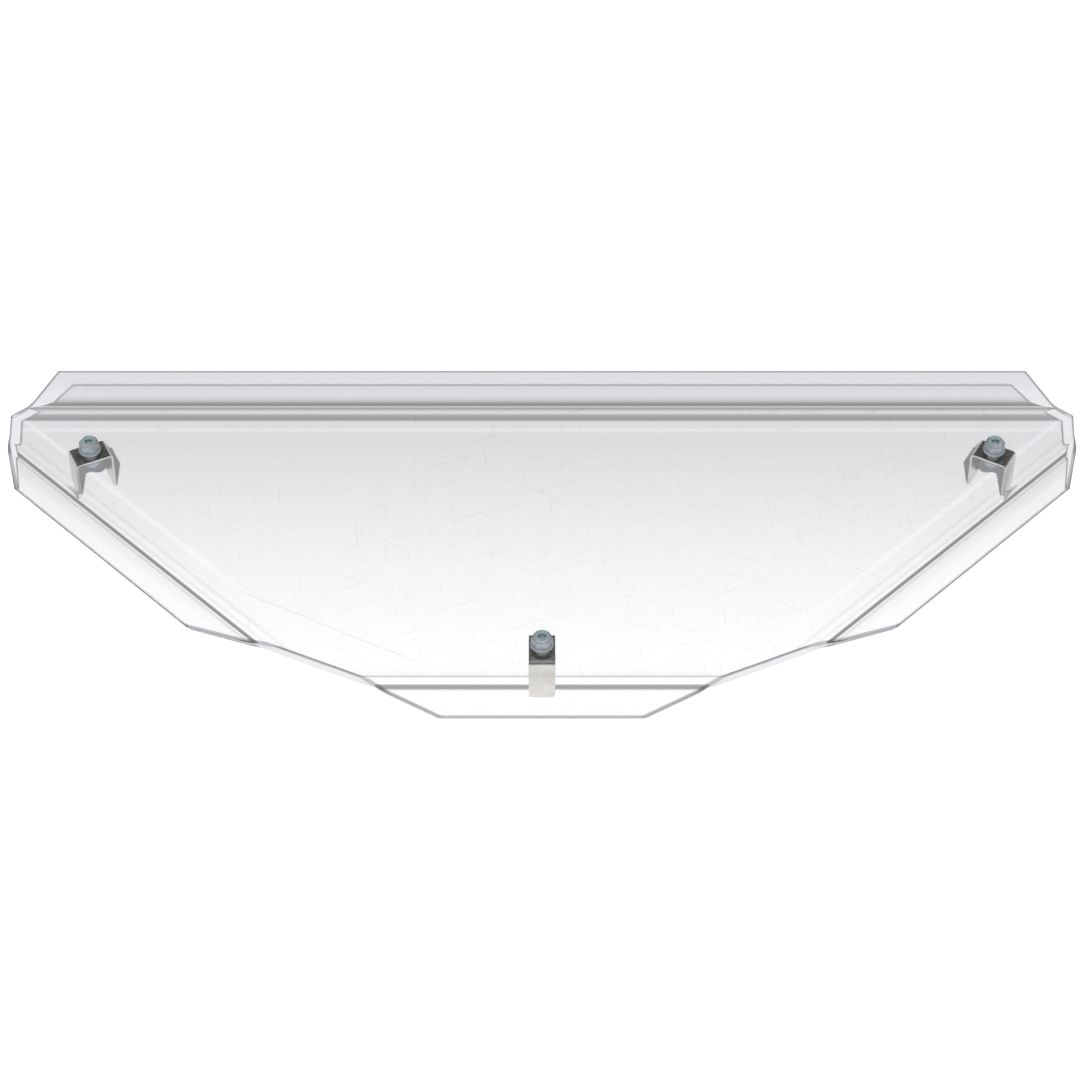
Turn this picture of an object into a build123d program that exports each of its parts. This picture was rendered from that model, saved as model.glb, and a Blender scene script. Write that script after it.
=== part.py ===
from build123d import *
import os
from math import cos, radians, sin, tan

# Clear sneeze guard: one folded sheet that clips onto a buffet rail by three
# swivelling strap clips. Millimetres, +Z up, +Y to the back. The origin is the
# middle of the footprint, at the level of the clip feet.

# ---------------------------------------------------------------- dimensions
# Folded sheet. Fold lines are where the top faces of panel and flange would meet.
sheet = 6.0                 # thickness of the clear sheet
bend_radius = 6.0           # inside radius of every fold
fold_angle = 45.0           # lean of every flange out of the panel
panel_width = 775.0         # end cut to end cut, at the back corners
panel_depth = 274.0         # front fold line to back fold line
front_cut_setback = 42.1    # front cuts start this far in from the side fold lines
front_cut_angle = 25.4      # front corner cuts, from the front edge
side_fold_angle = 45.5      # side fold lines, from the front edge
side_fold_setback = 38.0    # back fold line to the side fold lines, at the panel's width
end_cut_lean = 4.2          # end cuts lean in to the front by this much
back_cut_setback = 10.5     # back fold line to the start of the back corner cuts
back_cut_angle = 41.0       # back corner cuts, from the back edge
back_end_angle = 51.0       # ends of the back flange, from the back edge
front_flange = 23.4         # fold line to edge, down the slope
side_flange = 24.0
back_flange = 25.6
bend_steps = 4              # sections that shape each fold, end to end

# Strap clips.
rail_width = 25.0           # rail that the legs straddle
clip_gauge = 1.5            # strap thickness
clip_strap = 18.0           # strap width
clip_height = 31.5          # feet to the top of the web
clip_bend = 1.5             # inside radius of the strap's bends
foot_round = 3.0            # corner radius of the leg tips
front_clip_setback = 34.5   # front fold line to the front bolt
side_clip_inset = 61.5      # end of the panel's width to the side bolts
side_clip_setback = 47.0    # back fold line to the side bolts
left_clip_turn = 25.0       # turn of a side clip, its outer leg brought forward
right_clip_turn = 29.0

# Bolts, washers and lock nuts, M8.
thread = 8.0                # nominal diameter
thread_slack = 0.1          # bolt below nominal, so that it runs in the nut
wrench_size = 13.0          # across the flats of head and nut
head_height = 5.3
bolt_length = 16.0          # under the head
hole_slack = 0.5            # every hole above nominal, on the radius
washer_diameter = 16.0
washer_gauge = 1.6
nut_height = 8.0
collar_height = 2.3         # round collar that holds the nylon ring
collar_diameter = 11.2
ring_height = 2.4
ring_diameter = 9.8
ring_bore = 6.0
ring_slack = 0.05           # ring in its groove
lip_height = 0.4            # collar edge rolled over the ring
lip_bore = 8.8
hex_bevel = 0.8             # corners of head and nut are turned off over this height
swivel_play = 0.1           # web of a clip to the sheet, and to the washer under it

# ------------------------------------------------------------- derived sizes
fold = radians(fold_angle)
bend_run = fold * (bend_radius + sheet / 2)            # developed length of a fold
down_setback = (bend_radius + sheet) * tan(fold / 2)   # fold line to bend, top outside
up_setback = bend_radius * tan(fold / 2)               # fold line to bend, top inside
front_reach = front_flange * cos(fold)
back_reach = back_flange * cos(fold) + sheet * sin(fold)
overall_depth = front_reach + panel_depth + back_reach
front_fold_y = front_reach - overall_depth / 2
back_fold_y = front_fold_y + panel_depth

panel_under = clip_height + swivel_play
panel_top = panel_under + sheet
nut_seat = panel_top + washer_gauge
washer_seat = clip_height - clip_gauge - swivel_play
head_seat = washer_seat - washer_gauge
hole_radius = thread / 2 + hole_slack
hex_corner = wrench_size / 2 / cos(radians(30))
clip_span = rail_width + 2 * clip_gauge
up = Vector(0, 0, 1)


# --------------------------------------------------- lines of the flat blank
def blank_line(x, y, heading):
    """A straight line of the blank: a point and a unit direction."""
    return Vector(x, y), Vector(cos(radians(heading)), sin(radians(heading)))


def mirrored(line):
    """The same line on the left half of the blank."""
    return tuple(Vector(-v.X, v.Y) for v in line)


def shifted(line, offset):
    """A parallel line, moved by a vector."""
    return line[0] + offset, line[1]


def meet(first, second):
    """The point where two lines of the blank cross."""
    gap = second[0] - first[0]
    along = gap.cross(second[1]).Z / first[1].cross(second[1]).Z
    return first[0] + first[1] * along


side_out = Vector(sin(radians(side_fold_angle)), -cos(radians(side_fold_angle)))
front_fold = blank_line(0, front_fold_y, 0)
side_fold = blank_line(panel_width / 2, back_fold_y - side_fold_setback, side_fold_angle)
front_cut_start = meet(front_fold, side_fold) - Vector(front_cut_setback, 0)
front_cut = front_cut_start, blank_line(0, 0, front_cut_angle)[1]
back_corner_y = back_fold_y - back_cut_setback
end_cut = blank_line(panel_width / 2, back_corner_y, 90 - end_cut_lean)
back_cut = blank_line(panel_width / 2, back_corner_y, 180 - back_cut_angle)
front_bend = shifted(front_fold, Vector(0, down_setback))
back_bend = blank_line(0, back_fold_y - up_setback, 0)
back_end = meet(back_cut, back_bend), blank_line(0, 0, 180 - back_end_angle)[1]
side_bend = shifted(side_fold, side_out * -down_setback)


def sheet_section(bend, out, rise, angle, run, cuts):
    """One section across a fold: turned by angle in the bend, then run along the flange.

    The ends follow the straight cuts of the flat blank, wrapped round the bend.
    """
    spread = angle * (bend_radius + sheet / 2) + run
    line = shifted(bend, out * spread)
    start, stop = [(meet(line, cut) - bend[0]).dot(bend[1]) for cut in cuts]
    lift = up * rise
    axis_height = panel_top + bend_radius if rise > 0 else panel_under - bend_radius
    radial = out * sin(angle) - lift * cos(angle)
    slope = out * cos(angle) + lift * sin(angle)
    origin = bend[0] + up * axis_height + slope * run
    with BuildSketch(Plane(origin, x_dir=bend[1], z_dir=bend[1].cross(radial))) as section:
        with Locations(((start + stop) / 2, bend_radius + sheet / 2)):
            Rectangle(stop - start, sheet)
    return section.sketch


def folded_flange(bend, out, rise, flat, cuts):
    """A bend of the sheet and the flat flange beyond it, joined to the part being built."""
    turns = [fold * step / bend_steps for step in range(bend_steps + 1)]
    loft([sheet_section(bend, out, rise, turn, 0, cuts) for turn in turns])
    loft([sheet_section(bend, out, rise, fold, run, cuts) for run in (0, flat)], ruled=True)


# --------------------------------------------------------------- clip places
# Each seat is the foot of a bolt's axis; its X runs from the outer leg to the inner one.
front_seat_y = front_fold_y + front_clip_setback
side_seat_y = back_fold_y - side_clip_setback
side_seat_x = panel_width / 2 - side_clip_inset
left_inward = blank_line(0, 0, left_clip_turn)[1]
right_inward = blank_line(0, 0, 180 - right_clip_turn)[1]
seats = {
    "front": Plane((0, front_seat_y, 0), x_dir=(0, 1, 0)),
    "left": Plane((-side_seat_x, side_seat_y, 0), x_dir=left_inward),
    "right": Plane((side_seat_x, side_seat_y, 0), x_dir=right_inward),
}

os.makedirs("parts", exist_ok=True)

# ---------------------------------------------------------------- the panel
with BuildPart() as guard_panel:
    right_half = [
        meet(front_bend, front_cut),
        meet(front_cut, side_bend),
        meet(side_bend, end_cut),
        meet(end_cut, back_cut),
        meet(back_cut, back_bend),
    ]
    left_half = [Vector(-point.X, point.Y) for point in reversed(right_half)]
    with BuildSketch(Plane.XY.offset(panel_under)):
        with BuildLine():
            Polyline(*right_half, *left_half, close=True)
        make_face()
    extrude(amount=sheet)

    front_cuts = (mirrored(front_cut), front_cut)
    back_cuts = (mirrored(back_end), back_end)
    folded_flange(front_bend, Vector(0, -1), -1, front_flange - down_setback, front_cuts)
    folded_flange(back_bend, Vector(0, 1), 1, back_flange - up_setback, back_cuts)
    side_flat = side_flange - down_setback
    folded_flange(side_bend, side_out, -1, side_flat, (front_cut, end_cut))
    left_cuts = (mirrored(front_cut), mirrored(end_cut))
    left_out = mirrored((side_out,))[0]
    folded_flange(mirrored(side_bend), left_out, -1, side_flat, left_cuts)

    with Locations(*[seat.offset(panel_top) for seat in seats.values()]):
        Hole(hole_radius, depth=sheet)
guard_panel.part.label = "guard_panel"
export_step(guard_panel.part, "parts/guard_panel.step")

# ------------------------------------------- clips, bolts, washers, lock nuts
for side, seat in seats.items():
    upright = Plane(seat.origin, x_dir=seat.x_dir, z_dir=-seat.y_dir)

    with BuildPart() as clip:
        reach = clip_span / 2
        with BuildSketch(upright):
            with BuildLine():
                FilletPolyline(
                    (-reach, 0),
                    (-reach, clip_height),
                    (reach, clip_height),
                    (reach, 0),
                    radius=clip_bend + clip_gauge,
                )
                offset(amount=clip_gauge, side=Side.RIGHT)
            make_face()
        extrude(amount=clip_strap / 2, both=True)
        across_tips = clip.edges().filter_by(Axis((0, 0, 0), seat.x_dir))
        fillet(across_tips.group_by(Axis.Z)[0], foot_round)
        with Locations(seat.offset(clip_height)):
            Hole(hole_radius, depth=clip_gauge)
    clip.part.label = f"{side}_clip"
    export_step(clip.part, f"parts/{side}_clip.step")

    with BuildPart() as bolt:
        with BuildSketch(seat.offset(head_seat - head_height)):
            RegularPolygon(wrench_size / 2, 6, major_radius=False)
        extrude(amount=head_height)
        with BuildSketch(upright):
            with BuildLine():
                Polyline(
                    (0, head_seat - head_height),
                    (wrench_size / 2, head_seat - head_height),
                    (hex_corner, head_seat - head_height + hex_bevel),
                    (hex_corner, head_seat),
                    (0, head_seat),
                    close=True,
                )
            make_face()
        revolve(axis=Axis(seat.origin, up), mode=Mode.INTERSECT)
        with BuildSketch(seat.offset(head_seat)):
            Circle((thread - thread_slack) / 2)
        extrude(amount=bolt_length)
    bolt.part.label = f"{side}_bolt"
    export_step(bolt.part, f"parts/{side}_bolt.step")

    for place, level in (("lower", head_seat), ("upper", panel_top)):
        with BuildPart() as washer:
            with BuildSketch(seat.offset(level)):
                Circle(washer_diameter / 2)
                Circle(hole_radius, mode=Mode.SUBTRACT)
            extrude(amount=washer_gauge)
        washer.part.label = f"{side}_{place}_washer"
        export_step(washer.part, f"parts/{side}_{place}_washer.step")

    with BuildPart() as lock_nut:
        collar_seat = nut_seat + nut_height - collar_height
        nut_top = nut_seat + nut_height
        with BuildSketch(seat.offset(nut_seat)):
            RegularPolygon(wrench_size / 2, 6, major_radius=False)
        extrude(amount=nut_height)
        with BuildSketch(upright):
            with BuildLine():
                Polyline(
                    (0, nut_seat),
                    (hex_corner, nut_seat),
                    (hex_corner, collar_seat - hex_bevel),
                    (wrench_size / 2, collar_seat),
                    (collar_diameter / 2, collar_seat),
                    (collar_diameter / 2, nut_top),
                    (0, nut_top),
                    close=True,
                )
            make_face()
        revolve(axis=Axis(seat.origin, up), mode=Mode.INTERSECT)
        with Locations(seat.offset(nut_top)):
            Hole(thread / 2)
            Hole(lip_bore / 2, depth=lip_height)
        with BuildSketch(seat.offset(nut_top - lip_height)):
            Circle(ring_diameter / 2)
        extrude(amount=-ring_height, mode=Mode.SUBTRACT)
    lock_nut.part.label = f"{side}_lock_nut"
    export_step(lock_nut.part, f"parts/{side}_lock_nut.step")

    with BuildPart() as nylon_ring:
        with BuildSketch(seat.offset(nut_top - lip_height)):
            Circle(ring_diameter / 2 - ring_slack)
            Circle(ring_bore / 2, mode=Mode.SUBTRACT)
        extrude(amount=-ring_height)
    nylon_ring.part.label = f"{side}_nylon_ring"
    export_step(nylon_ring.part, f"parts/{side}_nylon_ring.step")
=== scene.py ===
# %% [markdown]
# # A clear sneeze guard
# The real object is one sheet of clear acrylic, folded along four lines, and held up by three
# strap clips. Each clip turns on one bolt, between washers, under a lock nut with a nylon ring.
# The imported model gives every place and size. This lesson folds, turns and bends finer copies
# of its pieces, and gives each one its finish, the table it stands on, the light and the camera.

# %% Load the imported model
from math import cos, pi, radians, sin, tan

import bmesh
import bpy
from mathutils import Matrix, Vector


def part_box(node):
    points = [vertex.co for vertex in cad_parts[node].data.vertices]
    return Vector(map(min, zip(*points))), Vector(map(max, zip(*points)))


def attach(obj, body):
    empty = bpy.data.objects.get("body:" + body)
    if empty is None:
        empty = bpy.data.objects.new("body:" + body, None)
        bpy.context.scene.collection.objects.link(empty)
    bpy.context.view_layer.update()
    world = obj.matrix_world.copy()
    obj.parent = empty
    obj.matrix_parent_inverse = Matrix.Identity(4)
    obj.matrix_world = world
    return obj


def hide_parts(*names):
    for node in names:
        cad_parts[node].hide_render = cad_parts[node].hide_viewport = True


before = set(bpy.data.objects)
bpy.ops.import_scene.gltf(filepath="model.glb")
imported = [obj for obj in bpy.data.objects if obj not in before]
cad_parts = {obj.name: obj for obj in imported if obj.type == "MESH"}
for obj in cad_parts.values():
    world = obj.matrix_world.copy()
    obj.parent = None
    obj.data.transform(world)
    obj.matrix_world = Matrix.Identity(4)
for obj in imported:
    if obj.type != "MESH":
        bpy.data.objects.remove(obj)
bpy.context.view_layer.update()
seats = ("front", "left", "right")
mm = 0.001

# %% [markdown]
# ## Places from the model
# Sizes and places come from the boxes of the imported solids, so that the pieces made here sit
# where the model says. The sheet lies between the clips' webs and the upper washers.

# %% Read the places
sheet_low, sheet_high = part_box("guard_panel")
web_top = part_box("front_clip")[1].z
sheet_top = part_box("front_upper_washer")[0].z
swivel_play = 0.1 * mm
sheet_gauge = sheet_top - web_top - swivel_play
bolt_axes = {}
for seat in seats:
    low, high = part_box(f"{seat}_upper_washer")
    bolt_axes[seat] = Vector(((low.x + high.x) / 2, (low.y + high.y) / 2, 0))
print("sheet", round(sheet_gauge / mm, 2), "mm thick, its top at", round(sheet_top / mm, 2), "mm")

# %% [markdown]
# ## Camera
# The guard is looked down on from the front at 45 degrees, with a long lens, so that its two
# sides draw in only a little towards the back.

# %% Aim the camera
aim = Vector((0, -6.9 * mm, sheet_top))
view_height = radians(45)
view_distance = 2.2
camera_data = bpy.data.cameras.new("camera")
camera_data.lens = 104.76
camera_data.shift_x = -0.00185
camera_data.shift_y = 0.00185
camera = bpy.data.objects.new("camera", camera_data)
camera.location = aim + view_distance * Vector((0, -cos(view_height), sin(view_height)))
camera.rotation_euler = (pi / 2 - view_height, 0, 0)
bpy.context.scene.collection.objects.link(camera)
bpy.context.scene.camera = camera
bpy.context.scene.view_settings.view_transform = "Standard"
print("camera at", [round(v, 3) for v in camera.location])

# %% [markdown]
# ## Node trees
# Every finish below is a small tree of shader nodes. These helpers add a node with its values
# and join it to the ones before it, so that each material reads as a short recipe. A socket is
# passed about as a pair: its node, and its name or number.


# %% Helpers for node trees
def add_node(tree, kind, **values):
    """One node of that kind. A name is one of its properties, or an input with _ for a space."""
    node = tree.nodes.new(kind)
    for name, value in values.items():
        if hasattr(node, name):
            setattr(node, name, value)
        else:
            node.inputs[name.replace("_", " ")].default_value = value
    return node


def join(tree, source, target):
    """Joins two sockets, each given as a node and its socket's name or number."""
    tree.links.new(source[0].outputs[source[1]], target[0].inputs[target[1]])


def new_tree(owner, output="ShaderNodeOutputMaterial"):
    """The emptied node tree of a material or a world, and its output node."""
    owner.use_nodes = True
    owner.node_tree.nodes.clear()
    return owner.node_tree, add_node(owner.node_tree, output)


def sums(tree, operation, *values):
    """A Math node. Each value is a socket, given as for join, or a plain number."""
    node = add_node(tree, "ShaderNodeMath", operation=operation)
    for number, value in enumerate(values):
        if isinstance(value, tuple):
            join(tree, value, (node, number))
        else:
            node.inputs[number].default_value = value
    return node, 0


def spread(tree, value, low, high, new_low=0, new_high=1):
    """A Map Range node: takes low to new_low and high to new_high, and stops there."""
    node = add_node(
        tree, "ShaderNodeMapRange",
        From_Min=low, From_Max=high, To_Min=new_low, To_Max=new_high,
    )
    join(tree, value, (node, "Value"))
    return node, 0


def ramp(tree, value, stops):
    """A Color Ramp read at a value. Each stop is a place from 0 to 1 and a grey level."""
    node = add_node(tree, "ShaderNodeValToRGB")
    elements = node.color_ramp.elements
    for element, (place, level) in zip(elements, (stops[0], stops[-1])):
        element.position = place
        element.color = (level, level, level, 1)
    for place, level in stops[1:-1]:
        elements.new(place).color = (level, level, level, 1)
    join(tree, value, (node, 0))
    return node, 0


def mixed_colour(tree, factor, first, second):
    """A Mix node between two colours. first may be a socket."""
    node = add_node(tree, "ShaderNodeMix", data_type="RGBA", B=second)
    join(tree, factor, (node, 0))
    colour_number = next(
        number for number, socket in enumerate(node.outputs)
        if socket.enabled and socket.type == "RGBA"
    )
    if isinstance(first[0], bpy.types.Node):
        join(tree, first, (node, "A"))
    else:
        node.inputs["A"].default_value = first
    return node, colour_number


def chosen(tree, chooser, without, with_it):
    """A Mix Shader between two shaders: the first where the chooser is 0, the second at 1."""
    mix = add_node(tree, "ShaderNodeMixShader")
    join(tree, chooser, (mix, 0))
    join(tree, (without, 0), (mix, 1))
    join(tree, (with_it, 0), (mix, 2))
    return mix


def raise_relief(tree, value, surface, strength, distance):
    """Bumps a surface by a value."""
    bump = add_node(tree, "ShaderNodeBump", Strength=strength, Distance=distance)
    join(tree, value, (bump, "Height"))
    join(tree, (bump, 0), (surface, "Normal"))


def show(piece_name, shape, *finishes):
    """A bmesh as a new object of the scene, smooth, with its materials."""
    mesh = bpy.data.meshes.new(piece_name)
    for face in shape.faces:
        face.smooth = True
    shape.to_mesh(mesh)
    shape.free()
    for finish in finishes:
        mesh.materials.append(finish)
    piece = bpy.data.objects.new(piece_name, mesh)
    bpy.context.scene.collection.objects.link(piece)
    return piece


# %% [markdown]
# ## Clear acrylic
# Clear acrylic bends light by an index of 1.49. What shows of it is mostly the light that it
# sends elsewhere: a fold acts as a rod-shaped lens, and the table under it gets dark bands and
# fine bright lines. Tracing such light takes very long, so the lamp's shadow rays go straight
# through instead, and a pattern on the sheet's top face says how much of the light gets through
# at each distance from a fold: 1 is plain sheet, and a bright line is a little over 1. The
# pattern reads the flat blank's own coordinates, which the mesh keeps as a UV map, so it stays
# on the folds whatever way the sheet turns.

# %% How much light each fold lets through
# Each pair is a distance in millimetres past the start of a bend, and the share let through.
reach_low, reach_high = -35 * mm, 30 * mm
front_bands = [
    (-6.5, 1.0), (-5.5, 0.96), (-1.9, 0.95), (-1.0, 0.15), (1.0, 0.12), (3.0, 0.04),
    (5.0, 0.04), (5.7, 0.6), (6.2, 1.0),
]
side_bands = [
    (-18.4, 1.0), (-17.4, 1.2), (-14.8, 1.2), (-13.8, 1.0), (-3.6, 1.0), (-3.0, 0.88),
    (-1.2, 0.86), (-0.5, 1.0), (2.1, 1.05), (3.2, 1.0), (3.7, 0.4), (4.2, 0.0), (7.0, 0.0),
    (7.4, 0.6), (7.9, 0.98), (8.6, 0.94), (10.0, 0.97), (13.0, 1.0), (15.0, 1.06), (16.0, 1.15),
]
back_bands = [
    (-20.1, 1.0), (-19.1, 1.2), (-17.0, 1.2), (-16.0, 1.02), (-8.6, 1.02), (-7.8, 0.6), (-7.0, 0.17),
    (-4.5, 0.22), (-2.0, 0.34), (-0.6, 0.5), (0.2, 0.95), (2.8, 0.95), (3.5, 0.05), (4.0, 0.0),
    (11.2, 0.02), (13.5, 0.16), (15.4, 0.5), (16.2, 0.64), (17.2, 0.8), (19.2, 0.92), (21.0, 1.02),
    (28.0, 0.98),
]
# Each pair is a place between the front and back bends, from 0 to 1, and the share there: a painted
# shade, less of the lamp's light gets through towards the back.
front_to_back = [(0, 1.0), (0.12, 1.0), (0.26, 0.96), (0.56, 0.9), (0.87, 0.84), (1, 0.84)]
print("bands:", len(front_bands), len(side_bands), len(back_bands), "stops")


def bands_across(tree, distance, bands):
    """The share of light that gets through, by the distance past the start of a bend."""
    place = spread(tree, distance, reach_low, reach_high)
    stops = [((at * mm - reach_low) / (reach_high - reach_low), level) for at, level in bands]
    return ramp(tree, place, [(0, 1.0)] + stops + [(1, stops[-1][1])])


# %% [markdown]
# ## The blank
# The real sheet is sawn flat, drilled, and then warmed along four lines and folded over an edge.
# So its sizes are those of the flat blank: fold lines, and straight cuts across them.

# %% Sizes of the blank
bend_radius = 6 * mm
fold_angle = radians(45)
panel_depth = 274 * mm
front_flange, side_flange, back_flange = 23.4 * mm, 24 * mm, 25.6 * mm
side_fold_angle, side_fold_setback = radians(45.5), 38 * mm
front_cut_angle, front_cut_setback = radians(25.4), 42.1 * mm
end_cut_angle = radians(85.8)
back_cut_angle, back_cut_setback = radians(139), 10.5 * mm
back_end_angle = radians(129)
hole_radius = 4.5 * mm

bend_middle = bend_radius + sheet_gauge / 2
bend_run = fold_angle * bend_middle
down_setback = (bend_radius + sheet_gauge) * tan(fold_angle / 2)
up_setback = bend_radius * tan(fold_angle / 2)
front_fold_y = sheet_low.y + front_flange * cos(fold_angle)
back_fold_y = front_fold_y + panel_depth
half_width = sheet_high.x
mirror = Matrix.Diagonal((-1, 1, 1))


# %% Lines of the blank
def blank_line(x, y, heading):
    """A straight line of the flat blank: a point on it and its direction."""
    return Vector((x, y, 0)), Vector((cos(heading), sin(heading), 0))


def moved(line, offset):
    """The same line, moved by a vector."""
    return line[0] + offset, line[1]


def crossing(first, second):
    """The point where two lines of the blank cross."""
    along = (second[0] - first[0]).cross(second[1]).z / first[1].cross(second[1]).z
    return first[0] + first[1] * along


front_out, back_out = Vector((0, -1, 0)), Vector((0, 1, 0))
side_out = Vector((sin(side_fold_angle), -cos(side_fold_angle), 0))
front_fold = blank_line(0, front_fold_y, 0)
side_fold = blank_line(half_width, back_fold_y - side_fold_setback, side_fold_angle)
back_bend = blank_line(0, back_fold_y - up_setback, 0)
front_bend = moved(front_fold, -front_out * down_setback)
side_bend = moved(side_fold, -side_out * down_setback)
front_cut_start = crossing(front_fold, side_fold).x - front_cut_setback
front_cut = blank_line(front_cut_start, front_fold_y, front_cut_angle)
end_cut = blank_line(half_width, back_fold_y - back_cut_setback, end_cut_angle)
back_cut = blank_line(half_width, back_fold_y - back_cut_setback, back_cut_angle)
back_corner = crossing(back_cut, back_bend)
back_end = blank_line(back_corner.x, back_corner.y, back_end_angle)
front_edge = moved(front_bend, front_out * (bend_run + front_flange - down_setback))
side_edge = moved(side_bend, side_out * (bend_run + side_flange - down_setback))
back_edge = moved(back_bend, back_out * (bend_run + back_flange - up_setback))
right_half = [
    crossing(front_edge, front_cut),
    crossing(front_cut, side_edge),
    crossing(side_edge, end_cut),
    crossing(end_cut, back_cut),
    back_corner,
    crossing(back_end, back_edge),
]
outline = right_half + [mirror @ point for point in reversed(right_half)]
blank_depth = (back_edge[0] - front_edge[0]).y
print("blank:", len(outline), "corners,", round(blank_depth / mm, 1), "mm deep before it is folded")

# %% [markdown]
# ## Shader of the clear sheet
# Five finishes share one recipe: the polished top and underside, the strip beside a sawn edge
# on each of them, and the sawn edge itself, with the faint lines of the saw. The strips are
# painted darker, a painted shade for the light that a sawn edge sends aside, and the top strip
# lets almost none of the lamp's light through. Only the top carries the pattern of light,
# because on both faces each band would show twice. It also carries one long scratch, and a
# painted shade: a dark line beside its front corner cuts, where the sheet shows its own cut
# faces from above. Handling leaves fine scratches in several directions: each is noise
# stretched along one direction, kept only where it is strongest. Light that the table throws
# back passes straight through, as the lamp's own light does.


# %% Scratches and sawn lines
def streaks(tree, heading, length, width, keep):
    """Fine straight marks along a heading, as a mask from 0 to 1."""
    coordinates = add_node(tree, "ShaderNodeTexCoord")
    turned_to = add_node(tree, "ShaderNodeMapping", vector_type="TEXTURE")
    turned_to.inputs["Rotation"].default_value = (0, 0, heading)
    turned_to.inputs["Scale"].default_value = (length, width, width)
    grain = add_node(tree, "ShaderNodeTexNoise", Scale=1.0, Detail=1.5, Roughness=0.4)
    join(tree, (coordinates, "Object"), (turned_to, 0))
    join(tree, (turned_to, 0), (grain, 0))
    return spread(tree, (grain, "Fac"), keep, keep + 0.06)


def long_scratch(tree):
    """One long scratch across the left of the sheet, wavering a little along its length, as a mask.
    """
    flat = add_node(tree, "ShaderNodeUVMap", uv_map="flat_blank")
    laid = add_node(tree, "ShaderNodeMapping", vector_type="TEXTURE")
    laid.inputs["Location"].default_value = (-150 * mm, -85.5 * mm, 0)
    laid.inputs["Rotation"].default_value = (0, 0, radians(-28))
    parts = add_node(tree, "ShaderNodeSeparateXYZ")
    waver = add_node(tree, "ShaderNodeTexNoise", Scale=25, Detail=3)
    join(tree, (flat, 0), (laid, 0))
    join(tree, (laid, 0), (parts, 0))
    join(tree, (flat, 0), (waver, 0))
    bowed = spread(tree, (waver, "Fac"), 0, 1, -3 * mm, 3 * mm)
    off_line = sums(tree, "ABSOLUTE", sums(tree, "ADD", (parts, "Y"), bowed))
    from_middle = sums(tree, "ABSOLUTE", (parts, "X"))
    narrow = spread(tree, off_line, 0.7 * mm, 0.3 * mm)
    short = spread(tree, from_middle, 82 * mm, 60 * mm)
    return sums(tree, "MULTIPLY", narrow, short)


def place_on_blank(tree):
    """The place on the flat blank, as a node with its X and Y."""
    flat = add_node(tree, "ShaderNodeUVMap", uv_map="flat_blank")
    parts = add_node(tree, "ShaderNodeSeparateXYZ")
    join(tree, (flat, 0), (parts, 0))
    return parts


def past_line(tree, parts, line, out):
    """How far a place lies past a line of the right half, or past its mirror image."""
    side_x = sums(tree, "ABSOLUTE", (parts, "X"))
    across = sums(tree, "MULTIPLY", side_x, out.x)
    along = sums(tree, "MULTIPLY", (parts, "Y"), out.y)
    return sums(tree, "SUBTRACT", sums(tree, "ADD", across, along), line[0].dot(out))


def painted_shade_beside_front_cut(tree):
    """A mask of a painted dark line beside the front corner cut: painted shade where the sheet shows
    its own cut face from above.
    """
    cut_out = Vector((sin(front_cut_angle), -cos(front_cut_angle), 0))
    past = past_line(tree, place_on_blank(tree), front_cut, cut_out)
    return spread(tree, past, -2.6 * mm, -2.0 * mm)


def light_through(tree, scale):
    """The share of the lamp's light that gets through the sheet, at most 1."""
    parts = place_on_blank(tree)
    depth = spread(tree, (parts, "Y"), front_bend[0].y, back_bend[0].y)
    share = sums(tree, "MULTIPLY", ramp(tree, depth, front_to_back), scale)
    for line, out, bands in (
        (front_bend, front_out, front_bands),
        (side_bend, side_out, side_bands),
        (back_bend, back_out, back_bands),
    ):
        band = bands_across(tree, past_line(tree, parts, line, out), bands)
        share = sums(tree, "MULTIPLY", share, band)
    return sums(tree, "MINIMUM", share, 1)


def clear_acrylic(
    finish_name, scale=0, tone=1.0, clear=1.0, roughness=0.0, relief=(9, 0.008)
):
    """One finish of the clear sheet.

    scale is the light let through at a share of 1, or 0 for a face without the pattern. tone
    darkens what is seen through it, as a painted shade on the strips beside a cut. relief is the
    fineness and strength of its unevenness.
    """
    finish = bpy.data.materials.new(finish_name)
    tree, output = new_tree(finish)
    surface = add_node(tree, "ShaderNodeBsdfPrincipled", IOR=1.49, Transmission_Weight=clear)
    scratch_width = 0.6 * mm
    marks = streaks(tree, radians(24), 60 * mm, scratch_width, 0.70)
    for heading, length in ((radians(-28), 40 * mm), (radians(97), 25 * mm)):
        more = streaks(tree, heading, length, scratch_width, 0.71)
        marks = sums(tree, "MAXIMUM", marks, more)
    if scale:
        marks = sums(tree, "MAXIMUM", marks, long_scratch(tree))
    plain = (0.98 * tone, 0.985 * tone, 0.995 * tone, 1)
    scratched = (0.74 * tone, 0.745 * tone, 0.75 * tone, 1)
    tint = mixed_colour(tree, marks, plain, scratched)
    if scale:
        # Painted shade: a dark line beside the front corner cuts.
        tint = mixed_colour(tree, painted_shade_beside_front_cut(tree), tint, (0.3, 0.31, 0.33, 1))
    join(tree, tint, (surface, "Base Color"))
    join(tree, spread(tree, marks, 0, 1, roughness, roughness + 0.12), (surface, "Roughness"))
    fineness, strength = relief
    coordinates = add_node(tree, "ShaderNodeTexCoord")
    uneven = add_node(tree, "ShaderNodeTexNoise", Scale=fineness, Detail=1)
    join(tree, (coordinates, "Object"), (uneven, 0))
    raise_relief(tree, (uneven, "Fac"), surface, strength, 0.1 * mm)
    passing = add_node(tree, "ShaderNodeBsdfTransparent")
    if scale:
        join(tree, light_through(tree, scale), (passing, 0))
    path = add_node(tree, "ShaderNodeLightPath")
    bounced = chosen(tree, (path, "Is Diffuse Ray"), surface, passing)
    join(tree, (chosen(tree, (path, "Is Shadow Ray"), bounced, passing), 0), (output, 0))
    return finish


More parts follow.
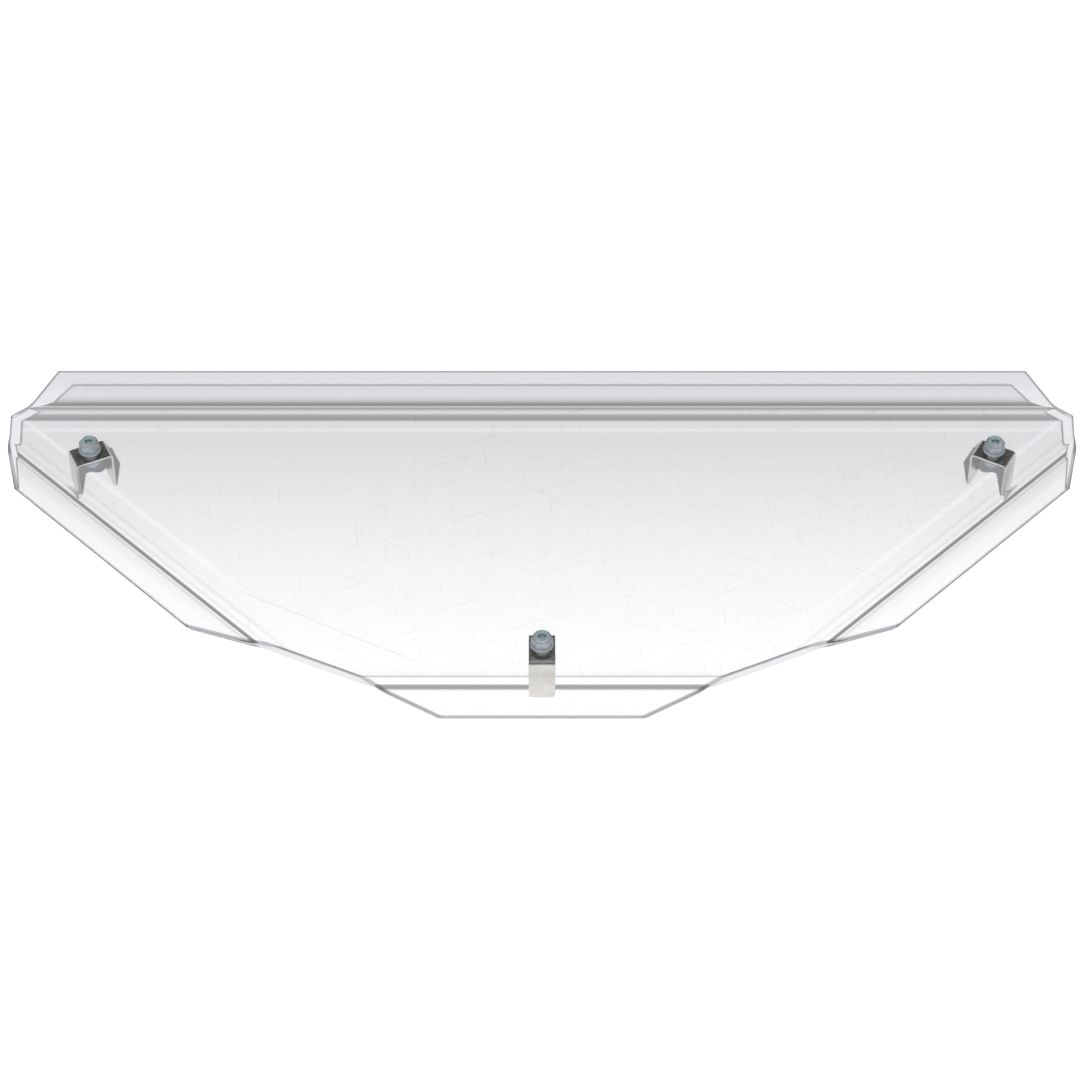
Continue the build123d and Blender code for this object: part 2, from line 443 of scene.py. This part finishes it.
clear_top = clear_acrylic("clear_acrylic_top", scale=1.0)
# The strips beside a cut are painted darker: a painted shade for the light the sawn edge sends
# aside.
painted_dark_top_strip = clear_acrylic("acrylic_top_painted_dark_beside_the_cut", scale=0.02, tone=0.5)
clear_underside = clear_acrylic("clear_acrylic_underside")
painted_dark_lower_strip = clear_acrylic("acrylic_underside_painted_dark_beside_the_cut", tone=0.6)
sawn_edge = clear_acrylic(
    "sawn_acrylic_edge", tone=0.97, clear=0.3, roughness=0.3, relief=(900, 0.25)
)
sheet_finishes = (clear_top, painted_dark_top_strip, clear_underside, painted_dark_lower_strip, sawn_edge)
print("finishes of the sheet:", [finish.name for finish in sheet_finishes])


# %% [markdown]
# ## Saw, drill and fold
# The sheet and the clips are both folded from a flat blank, so the same helpers make both. A
# blank is a filled outline with a narrow strip along each cut edge. It is cut into strips where
# it will bend, and then everything past the start of a bend is rolled round it. A thin strip on
# each side of a bend keeps the wide flat faces flat to the light. Thickening copies each face's
# finish to the underside, some places further down the list of finishes.


# %% Helpers that fold a blank
bend_strips = 12


def sawn_blank(points, holes, rim, corner_round=0):
    """A flat blank: a filled outline with drilled holes, and a strip along each cut edge."""
    blank = bmesh.new()
    corners = [blank.verts.new(point) for point in points]
    for pair in zip(corners, corners[1:] + corners[:1]):
        blank.edges.new(pair)
    if corner_round:
        bmesh.ops.bevel(
            blank, geom=corners, offset=corner_round, segments=6, profile=0.5,
            affect="VERTICES", material=-1,
        )
    for centre in holes:
        drill = Matrix.Translation(centre)
        bmesh.ops.create_circle(blank, segments=48, radius=hole_radius, matrix=drill)
    bmesh.ops.triangle_fill(blank, edges=blank.edges, use_beauty=True, normal=(0, 0, 1))
    inset = bmesh.ops.inset_region(
        blank, faces=blank.faces, thickness=rim, use_boundary=True, use_even_offset=True
    )
    for face in inset["faces"]:
        face.material_index = 1
    return blank


def cut_strips(blank, bend, out, run, margin):
    """Cuts the blank into strips over a bend's run, with a narrow one on each side of it."""
    places = [run * strip / bend_strips for strip in range(bend_strips + 1)]
    for place in [-margin] + places + [run + margin]:
        everything = blank.verts[:] + blank.edges[:] + blank.faces[:]
        spot = bend[0] + out * place
        bmesh.ops.bisect_plane(blank, geom=everything, dist=1e-7, plane_co=spot, plane_no=out)


def roll(blank, bend, out, middle, angle, rise):
    """Turns what lies beyond a bend's start round the bend. rise is 1 for up and -1 for down."""
    for vert in blank.verts:
        past = (vert.co - bend[0]).dot(out)
        if past > 1e-3 * mm:
            turn = min(past / middle, angle)
            run = max(past - middle * angle, 0)
            reach = middle * sin(turn) + run * cos(turn)
            lift = middle * (1 - cos(turn)) + run * sin(turn)
            vert.co += out * (reach - past) + Vector((0, 0, rise * lift))


def thicken(piece, gauge, edge_break, underside=0, cut_edge=0):
    """Gives a folded piece its thickness, and breaks its sharp edges.

    underside and cut_edge say how many finishes further down the list those faces take.
    """
    solid = piece.modifiers.new("gauge", "SOLIDIFY")
    solid.thickness = gauge
    solid.offset = 0
    solid.use_even_offset = True
    solid.material_offset = underside
    solid.material_offset_rim = cut_edge
    breaks = piece.modifiers.new("broken_edges", "BEVEL")
    breaks.width = edge_break
    breaks.segments = 2
    breaks.limit_method = "ANGLE"
    breaks.angle_limit = radians(50)
    breaks.use_clamp_overlap = False
    flats = piece.modifiers.new("flat_faces", "WEIGHTED_NORMAL")
    flats.weight = 100


# %% Fold the sheet
rim_strip = 1.2 * mm
blank = sawn_blank(outline, bolt_axes.values(), rim_strip)
left_bend = (mirror @ side_bend[0], mirror @ side_bend[1])
bends = [
    (front_bend, front_out, -1),
    (side_bend, side_out, -1),
    (left_bend, mirror @ side_out, -1),
    (back_bend, back_out, 1),
]
for bend, out, rise in bends:
    cut_strips(blank, bend, out, bend_run, rim_strip)
flat_blank = blank.loops.layers.uv.new("flat_blank")
for face in blank.faces:
    for loop in face.loops:
        loop[flat_blank].uv = loop.vert.co.xy
for bend, out, rise in bends:
    roll(blank, bend, out, bend_middle, fold_angle, rise)
bmesh.ops.translate(blank, verts=blank.verts, vec=(0, 0, sheet_top - sheet_gauge / 2))
clear_sheet = show("clear_sheet", blank, *sheet_finishes)
thicken(clear_sheet, sheet_gauge, 0.35 * mm, underside=2, cut_edge=3)
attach(clear_sheet, "guard")
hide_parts("guard_panel")
print("sheet folded:", len(clear_sheet.data.polygons), "faces before it gets its thickness")

# %% [markdown]
# ## Metals and nylon
# The straps are cut from cold-rolled stainless strip, whose grain runs along the strap: noise
# that changes fast across the strap and hardly at all along it or up a leg. The hardware is
# zinc plated: a satin plating with a blue cast, mottled where it was handled, and not quite a
# bare metal to the light. The nylon ring is moulded, with a soft gloss.


# %% Metal and nylon finishes
def base_finish(finish_name, **values):
    """A material with one Principled surface. Gives the material, its tree and the surface."""
    finish = bpy.data.materials.new(finish_name)
    tree, output = new_tree(finish)
    surface = add_node(tree, "ShaderNodeBsdfPrincipled", **values)
    join(tree, (surface, 0), (output, 0))
    return finish, tree, surface


def patches(tree, scale, detail, stretch=(1, 1, 1), heading=0):
    """Soft noise in the piece's own place, stretched along a heading."""
    coordinates = add_node(tree, "ShaderNodeTexCoord")
    place = add_node(tree, "ShaderNodeMapping")
    place.inputs["Rotation"].default_value = (0, 0, -heading)
    place.inputs["Scale"].default_value = stretch
    noise = add_node(tree, "ShaderNodeTexNoise", Scale=scale, Detail=detail)
    join(tree, (coordinates, "Object"), (place, 0))
    join(tree, (place, 0), (noise, 0))
    return noise, "Fac"


def vary(tree, value, socket, low, high):
    """Joins soft noise to a socket, as a range of numbers or of colours."""
    if isinstance(low, tuple):
        join(tree, mixed_colour(tree, value, low, high), socket)
    else:
        join(tree, spread(tree, value, 0.3, 0.7, low, high), socket)


def rolled_stainless(finish_name, heading):
    """Rolled stainless strip, with its grain along a heading and up the legs."""
    finish, tree, surface = base_finish(finish_name, Metallic=1.0)
    grain = patches(tree, 60, 6, (0.6, 60, 0.6), heading)
    wear = patches(tree, 90, 3)
    vary(tree, wear, (surface, "Base Color"), (0.66, 0.64, 0.61, 1), (0.82, 0.80, 0.76, 1))
    vary(tree, grain, (surface, "Roughness"), 0.16, 0.38)
    raise_relief(tree, grain, surface, 0.25, 0.05 * mm)
    return finish


def bright_zinc(finish_name, scale):
    """Zinc plating with a blue cast."""
    finish, tree, surface = base_finish(finish_name, Metallic=0.76)
    mottle = patches(tree, scale, 4)
    fine = patches(tree, 1400, 2)
    vary(tree, mottle, (surface, "Base Color"), (0.50, 0.56, 0.61, 1), (0.78, 0.84, 0.88, 1))
    vary(tree, mottle, (surface, "Roughness"), 0.56, 0.72)
    raise_relief(tree, fine, surface, 0.12, 0.04 * mm)
    return finish


def moulded_nylon():
    """Blue-green moulded nylon."""
    finish, tree, surface = base_finish("blue_green_nylon", Subsurface_Weight=0.15)
    surface.inputs["Subsurface Radius"].default_value = (0.0006, 0.001, 0.001)
    mottle = patches(tree, 500, 3)
    vary(tree, mottle, (surface, "Base Color"), (0.20, 0.29, 0.29, 1), (0.32, 0.42, 0.42, 1))
    vary(tree, mottle, (surface, "Roughness"), 0.35, 0.5)
    raise_relief(tree, mottle, surface, 0.2, 0.05 * mm)
    return finish


zinc = bright_zinc("bright_zinc", 260)
washer_zinc = bright_zinc("washer_zinc", 120)
nylon = moulded_nylon()
print("finishes of the hardware:", zinc.name, washer_zinc.name, nylon.name)

# %% [markdown]
# ## Strap clips
# Each clip is a strip of stainless bent twice into a bridge that straddles the rail. Its flat
# blank has rounded ends and one hole. The front clip's legs stand front and back. The side
# clips are turned to lie along the rail.

# %% Fold the clips
clip_gauge, clip_strap, clip_bend = 1.5 * mm, 18 * mm, 1.5 * mm
clip_span = 28 * mm
foot_round, strap_rim = 3 * mm, 0.3 * mm
clip_headings = {"front": radians(90), "left": radians(25), "right": radians(151)}
strap_middle = clip_bend + clip_gauge / 2
strap_run = pi / 2 * strap_middle
web_half = clip_span / 2 - clip_bend - clip_gauge
strap_half = web_half + strap_run + web_top - clip_bend - clip_gauge
across_half = clip_strap / 2
strap_corners = [
    Vector((-strap_half, -across_half, 0)),
    Vector((strap_half, -across_half, 0)),
    Vector((strap_half, across_half, 0)),
    Vector((-strap_half, across_half, 0)),
]
for seat in seats:
    strap = sawn_blank(strap_corners, [Vector((0, 0, 0))], strap_rim, foot_round)
    for direction in (1, -1):
        out = Vector((direction, 0, 0))
        bend = (out * web_half, Vector((0, 1, 0)))
        cut_strips(strap, bend, out, strap_run, strap_rim)
        roll(strap, bend, out, strap_middle, pi / 2, -1)
    height = Matrix.Translation((0, 0, web_top - clip_gauge / 2))
    turn = Matrix.Rotation(clip_headings[seat], 4, "Z")
    place = Matrix.Translation(bolt_axes[seat]) @ height @ turn
    bmesh.ops.transform(strap, matrix=place, verts=strap.verts)
    steel = rolled_stainless(f"{seat}_rolled_stainless", clip_headings[seat])
    clip = show(f"{seat}_strap_clip", strap, steel)
    thicken(clip, clip_gauge, 0.15 * mm)
    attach(clip, f"{seat}_clip")
    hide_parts(f"{seat}_clip")
    print(clip.name, "folded:", len(clip.data.polygons), "faces")

# %% [markdown]
# ## Bolts, washers, nuts and rings
# The hardware is turned: each piece is half a profile spun round its bolt. The corners of a
# profile are rounded before it is spun, as a stamped washer's or a pressed nut's are. The six
# flats of a head or nut come after: the outer wall is spun at the size of the corners, and then
# pulled in to the flats, down the slope of its chamfer.

# %% Turning helpers
wrench_flat = 6.5 * mm
wrench_corner = wrench_flat / cos(radians(30))
chamfer_height = 0.6 * mm
turn_steps = 96


def turned(profile, rounding, steps=turn_steps):
    """A bmesh spun from a half profile: radius and height of its corners, in millimetres.

    The profile is a closed loop, or starts and ends on the axis.
    """
    shape = bmesh.new()
    verts = [shape.verts.new((radius * mm, 0, height * mm)) for radius, height in profile]
    on_axis = profile[0][0] == 0
    ends = verts[1:] if on_axis else verts[1:] + verts[:1]
    for pair in zip(verts, ends):
        shape.edges.new(pair)
    corners = [vert for vert in verts if len(vert.link_edges) == 2]
    if rounding:
        bmesh.ops.bevel(
            shape, geom=corners, offset=rounding, segments=3, profile=0.5,
            affect="VERTICES", clamp_overlap=True, material=-1,
        )
    bmesh.ops.spin(
        shape, geom=shape.verts[:] + shape.edges[:], cent=(0, 0, 0), axis=(0, 0, 1),
        angle=2 * pi, steps=steps, use_merge=True,
    )
    bmesh.ops.remove_doubles(shape, verts=shape.verts, dist=1e-4 * mm)
    bmesh.ops.recalc_face_normals(shape, faces=shape.faces)
    return shape


def pull_to_flats(shape, low, high):
    """Pulls the outer wall of a spun head or nut in to its six flats."""
    slope = chamfer_height / (wrench_corner - wrench_flat)
    for vert in shape.verts:
        radius = vert.co.xy.length
        if radius > wrench_flat + 1e-3 * mm:
            angle = vert.co.xy.to_2d().angle_signed(Vector((1, 0)))
            off_flat = (angle + pi / 6) % (pi / 3) - pi / 6
            flat = wrench_flat / cos(off_flat)
            if radius > flat:
                dropped = (flat - wrench_flat) * slope
                near_low = vert.co.z < (low + high) / 2
                vert.co.x *= flat / radius
                vert.co.y *= flat / radius
                vert.co.z = low + dropped if near_low else high - dropped
    bmesh.ops.remove_doubles(shape, verts=shape.verts, dist=1e-4 * mm)


def place_turned(shape, seat, node, finish, heading=0):
    """Sets a turned piece on its bolt, in place of its node."""
    spot = Matrix.Translation(bolt_axes[seat]) @ Matrix.Rotation(heading, 4, "Z")
    bmesh.ops.transform(shape, matrix=spot, verts=shape.verts)
    piece = show(f"{seat}_turned_{node}", shape, finish)
    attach(piece, "guard")
    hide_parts(f"{seat}_{node}")
    return piece


# %% Turn the hardware
# All in millimetres, from here down to the loop.
flat, corner, drop = wrench_flat / mm, wrench_corner / mm, chamfer_height / mm
washer_bore, washer_radius = 4.5, 8
nut_bore = 4
collar_height, collar_radius, lip_radius = 2.3, 5.6, 4.4
groove_radius, groove_depth = 4.9, 2.8
ring_bore, ring_play = 3.0, 0.05
head_height, hollow_radius, hollow_depth = 5.3, 4.2, 0.3
crest_radius, root_radius, tip_radius = 3.95, 3.4, 3.3
thread_turns, pitch, tip_length = 9, 1.25, 1.4
for seat in seats:
    heading = clip_headings[seat]
    for node in ("lower_washer", "upper_washer"):
        low, high = (corner.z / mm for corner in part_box(f"{seat}_{node}"))
        profile = [
            (washer_bore, low), (washer_radius, low), (washer_radius, high), (washer_bore, high)
        ]
        place_turned(turned(profile, 0.25 * mm), seat, node, washer_zinc)

    low, high = (corner.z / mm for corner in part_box(f"{seat}_lock_nut"))
    shoulder = high - collar_height
    profile = [
        (nut_bore, low + 0.6), (nut_bore + 0.6, low), (flat, low), (corner, low + drop),
        (corner, shoulder - drop), (flat, shoulder), (collar_radius + 0.1, shoulder),
        (collar_radius, high - 1.2), (collar_radius - 0.3, high - 0.5),
        (collar_radius - 0.8, high - 0.08), (lip_radius + 0.2, high), (lip_radius, high - 0.15),
        (lip_radius, high - 0.4), (groove_radius, high - 0.45),
        (groove_radius, high - groove_depth), (nut_bore, high - groove_depth),
    ]
    nut = turned(profile, 0)
    pull_to_flats(nut, low * mm, shoulder * mm)
    place_turned(nut, seat, "lock_nut", zinc, heading)

    low, high = (corner.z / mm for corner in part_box(f"{seat}_nylon_ring"))
    ring_radius = groove_radius - ring_play
    profile = [(ring_bore, low), (ring_radius, low), (ring_radius, high), (ring_bore, high)]
    place_turned(turned(profile, 0.3 * mm), seat, "nylon_ring", nylon)

    low, high = (corner.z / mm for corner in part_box(f"{seat}_bolt"))
    under_head = low + head_height
    profile = [
        (0, low + hollow_depth), (hollow_radius, low + hollow_depth), (hollow_radius + 0.4, low),
        (flat, low), (corner, low + drop), (corner, under_head - drop), (flat, under_head),
        (crest_radius, under_head),
    ]
    for turn in range(thread_turns):
        crest = high - tip_length - (thread_turns - 1 - turn) * pitch
        profile += [(crest_radius, crest), (root_radius, crest + pitch / 2)]
    profile += [(tip_radius, high), (0, high)]
    bolt = turned(profile, 0)
    pull_to_flats(bolt, low * mm, under_head * mm)
    place_turned(bolt, seat, "bolt", zinc, heading)
    print(seat, "hardware turned")

# %% [markdown]
# ## Studio
# A pale table, a small key lamp far off in front and above, and a room that is white low down
# and dark higher up, with a bright ceiling. Metal and acrylic live on such contrast: what they
# mirror gives them their dark webs and bright bends. The table's colour carries a painted shade:
# it falls off to a cool grey towards the back, as light would under a lamp at the front, and this
# shows through the sheet; seen straight, a glow makes it as white as the backdrop. The lamp is a
# sun, so that every fold's shadow falls alike, and it is narrow enough to keep the bands of the
# folds crisp. Nothing mirrors the lamp itself, because its image would burn a white spot into the
# back edge and the nuts.


# %% Rays that see the white of the room
def seen_directly(tree):
    """1 for rays from the camera, off a shiny surface or through a clear one, and 0 for others."""
    path = add_node(tree, "ShaderNodeLightPath")
    shiny = sums(tree, "MAXIMUM", (path, "Is Camera Ray"), (path, "Is Glossy Ray"))
    return sums(tree, "MAXIMUM", shiny, (path, "Is Transmission Ray"))


# %% Room
world = bpy.data.worlds.new("studio")
bpy.context.scene.world = world
tree, output = new_tree(world, "ShaderNodeOutputWorld")
path = add_node(tree, "ShaderNodeLightPath")
backdrop = add_node(tree, "ShaderNodeBackground", Color=(1, 1, 1, 1), Strength=1.0)
fill = add_node(tree, "ShaderNodeBackground", Color=(1, 1, 1, 1), Strength=0.26)
room = add_node(tree, "ShaderNodeBackground", Strength=1.0)
direction = add_node(tree, "ShaderNodeTexCoord")
parts = add_node(tree, "ShaderNodeSeparateXYZ")
join(tree, (direction, "Generated"), (parts, 0))
heights = [(0, 1), (0.06, 1), (0.16, 0.06), (0.74, 0.06), (0.88, 0.35), (1, 0.45)]
join(tree, ramp(tree, (parts, "Z"), heights), (room, "Color"))
lit = chosen(tree, seen_directly(tree), fill, room)
join(tree, (chosen(tree, (path, "Is Camera Ray"), lit, backdrop), 0), (output, 0))
print("room:", world.name, "with", len(heights), "stops from floor to ceiling")

# %% Table
# Each pair is a place between table_front and table_back, from 0 to 1, and the tone there: a painted
# shade, darker towards the back.
table_front, table_back = -80 * mm, 220 * mm
painted_falloff = [
    (0, 1.0), (0.28, 0.965), (0.55, 0.875), (0.69, 0.83), (0.76, 0.815), (0.9, 0.77),
    (0.94, 0.7), (1, 0.68),
]
seen_through = 0.13
table_shape = bmesh.new()
bmesh.ops.create_grid(table_shape, x_segments=1, y_segments=1, size=4)
white_table = bpy.data.materials.new("white_table")
tree, output = new_tree(white_table)
path = add_node(tree, "ShaderNodeLightPath")
place = add_node(tree, "ShaderNodeTexCoord")
parts = add_node(tree, "ShaderNodeSeparateXYZ")
join(tree, (place, "Object"), (parts, 0))
depth = spread(tree, (parts, "Y"), table_front, table_back)
grey = ramp(tree, depth, painted_falloff)
matte = add_node(tree, "ShaderNodeBsdfDiffuse")
# Painted shade: the table's colour darkens to a cool grey towards the back; a glow of one minus that
# shade makes it white again for camera rays.
cool = mixed_colour(tree, grey, (0, 0.01, 0.09, 1), (0.92, 0.92, 0.92, 1))
join(tree, cool, (matte, "Color"))
glow_seen = add_node(tree, "ShaderNodeEmission", Color=(1, 1, 1, 1))
white_again = sums(tree, "SUBTRACT", 1, grey)
straight = sums(tree, "MULTIPLY", (path, "Is Camera Ray"), white_again)
through = sums(tree, "MULTIPLY", seen_directly(tree), seen_through)
join(tree, sums(tree, "ADD", through, straight), (glow_seen, "Strength"))
both = add_node(tree, "ShaderNodeAddShader")
join(tree, (matte, 0), (both, 0))
join(tree, (glow_seen, 0), (both, 1))
join(tree, (both, 0), (output, 0))
table_top = show("table_top", table_shape, white_table)
print("table:", table_top.name, "with", len(painted_falloff), "stops from front to back")

# %% Key lamp
lamp_height = radians(50)
lamp_data = bpy.data.lights.new("key_lamp", "SUN")
lamp_data.angle = radians(1.5)
lamp_data.energy = 3.35
key_lamp = bpy.data.objects.new("key_lamp", lamp_data)
key_lamp.location = aim + Vector((0, -cos(lamp_height), sin(lamp_height)))
key_lamp.rotation_euler = (pi / 2 - lamp_height, 0, 0)
key_lamp.visible_transmission = False
key_lamp.visible_glossy = False
bpy.context.scene.collection.objects.link(key_lamp)
print("key lamp", round(lamp_data.energy, 2), "at", round(lamp_height / radians(1)), "degrees")
